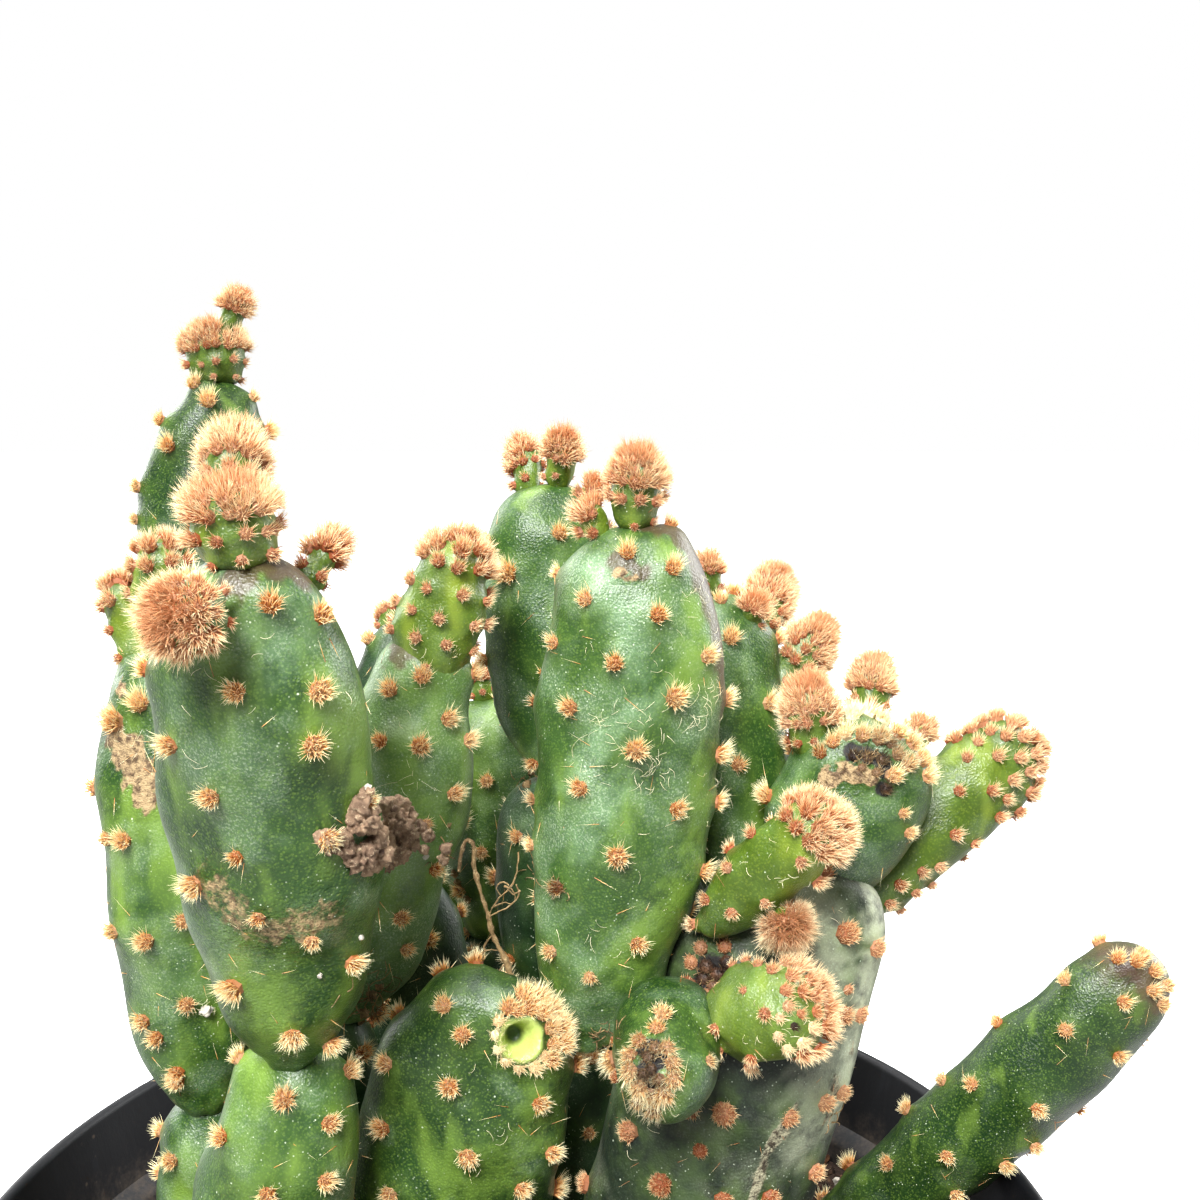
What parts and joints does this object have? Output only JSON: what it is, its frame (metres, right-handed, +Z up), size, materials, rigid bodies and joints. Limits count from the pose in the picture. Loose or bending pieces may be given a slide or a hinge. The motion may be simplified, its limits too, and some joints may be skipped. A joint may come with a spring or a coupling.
{
  "type": "potted monstrose cinnamon cactus",
  "caption": "Clump of upright jointed cactus pads with tufts of short bristles and woolly buds, standing in soil in a round nursery pot.",
  "frame": {"origin": "centre of the pot's underside, on the surface it stands on", "axes": "+Z up out of the pot, -Y towards the side that the picture shows, +X to the right of that view"},
  "size_m": [0.1111, 0.1, 0.1735],
  "materials": {
    "pot": "near-black moulded nursery plastic with a soft gloss and faint vertical streaks",
    "soil": "dark brown loose potting mix of bark crumbs and grit",
    "skin": "velvety mid-green skin with fine pale flecks, soft sheen and corky tan patches",
    "old_skin": "grey-green aged skin, dull, with corky cracks",
    "young_skin": "bright yellow-green new growth with a soft sheen",
    "bristles": "dense tufts of short cinnamon-brown to cream bristles",
    "dry_litter": "dry fibrous bark and root, matt"
  },
  "bodies": {
    "root": {"pot": "pot", "soil": "soil", "stem_front_left": "skin", "stem_left": "skin", "stem_middle_left": "skin", "stem_front": "skin", "stem_shaded": "skin", "trunk": "old_skin", "stem_centre": "skin", "stem_back_left": "skin", "stem_back": "skin", "stem_back_right": "skin", "arm": "skin", "pad_front_left": "skin", "pad_left": "skin", "pad_middle_left": "skin", "pad_centre": "skin", "pad_centre_lower": "skin", "pad_centre_back": "skin", "pad_back": "skin", "pad_shaded_tip": "skin", "pad_back_left": "skin", "pad_right_rear": "skin", "pad_back_right": "skin", "pad_rear_left": "skin", "pad_rear_middle": "skin", "pad_rear_right": "skin", "pad_right_round": "skin", "pad_right_light": "young_skin", "pad_upper_light": "young_skin", "pad_lower_light": "young_skin", "pad_knob": "skin", "pad_middle_left_tip": "young_skin", "bud_front_left_crown": "young_skin", "bud_front_left_peak": "young_skin", "bud_front_left_near": "young_skin", "bud_front_left_far": "young_skin", "bud_left_tall": "young_skin", "bud_left_low": "young_skin", "bud_centre_crown": "young_skin", "bud_centre_shoulder": "young_skin", "bud_back_crown": "young_skin", "bud_back_far": "young_skin", "bud_back_shoulder": "young_skin", "bud_back_rim": "young_skin", "bud_back_right_crown": "young_skin", "bud_shaded_rear": "young_skin", "bud_back_left_crown": "young_skin", "bud_back_left_peak": "young_skin", "bud_rear_crown": "young_skin", "bud_rear_shoulder": "young_skin", "bud_rear_far": "young_skin", "bud_right_back": "young_skin", "bud_right_near": "young_skin", "bud_right_peak": "young_skin", "bud_right_edge": "young_skin", "bud_trunk_woolly": "young_skin", "bark_crumb": "dry_litter", "dry_root": "dry_litter"}
  },
  "joints": []
}
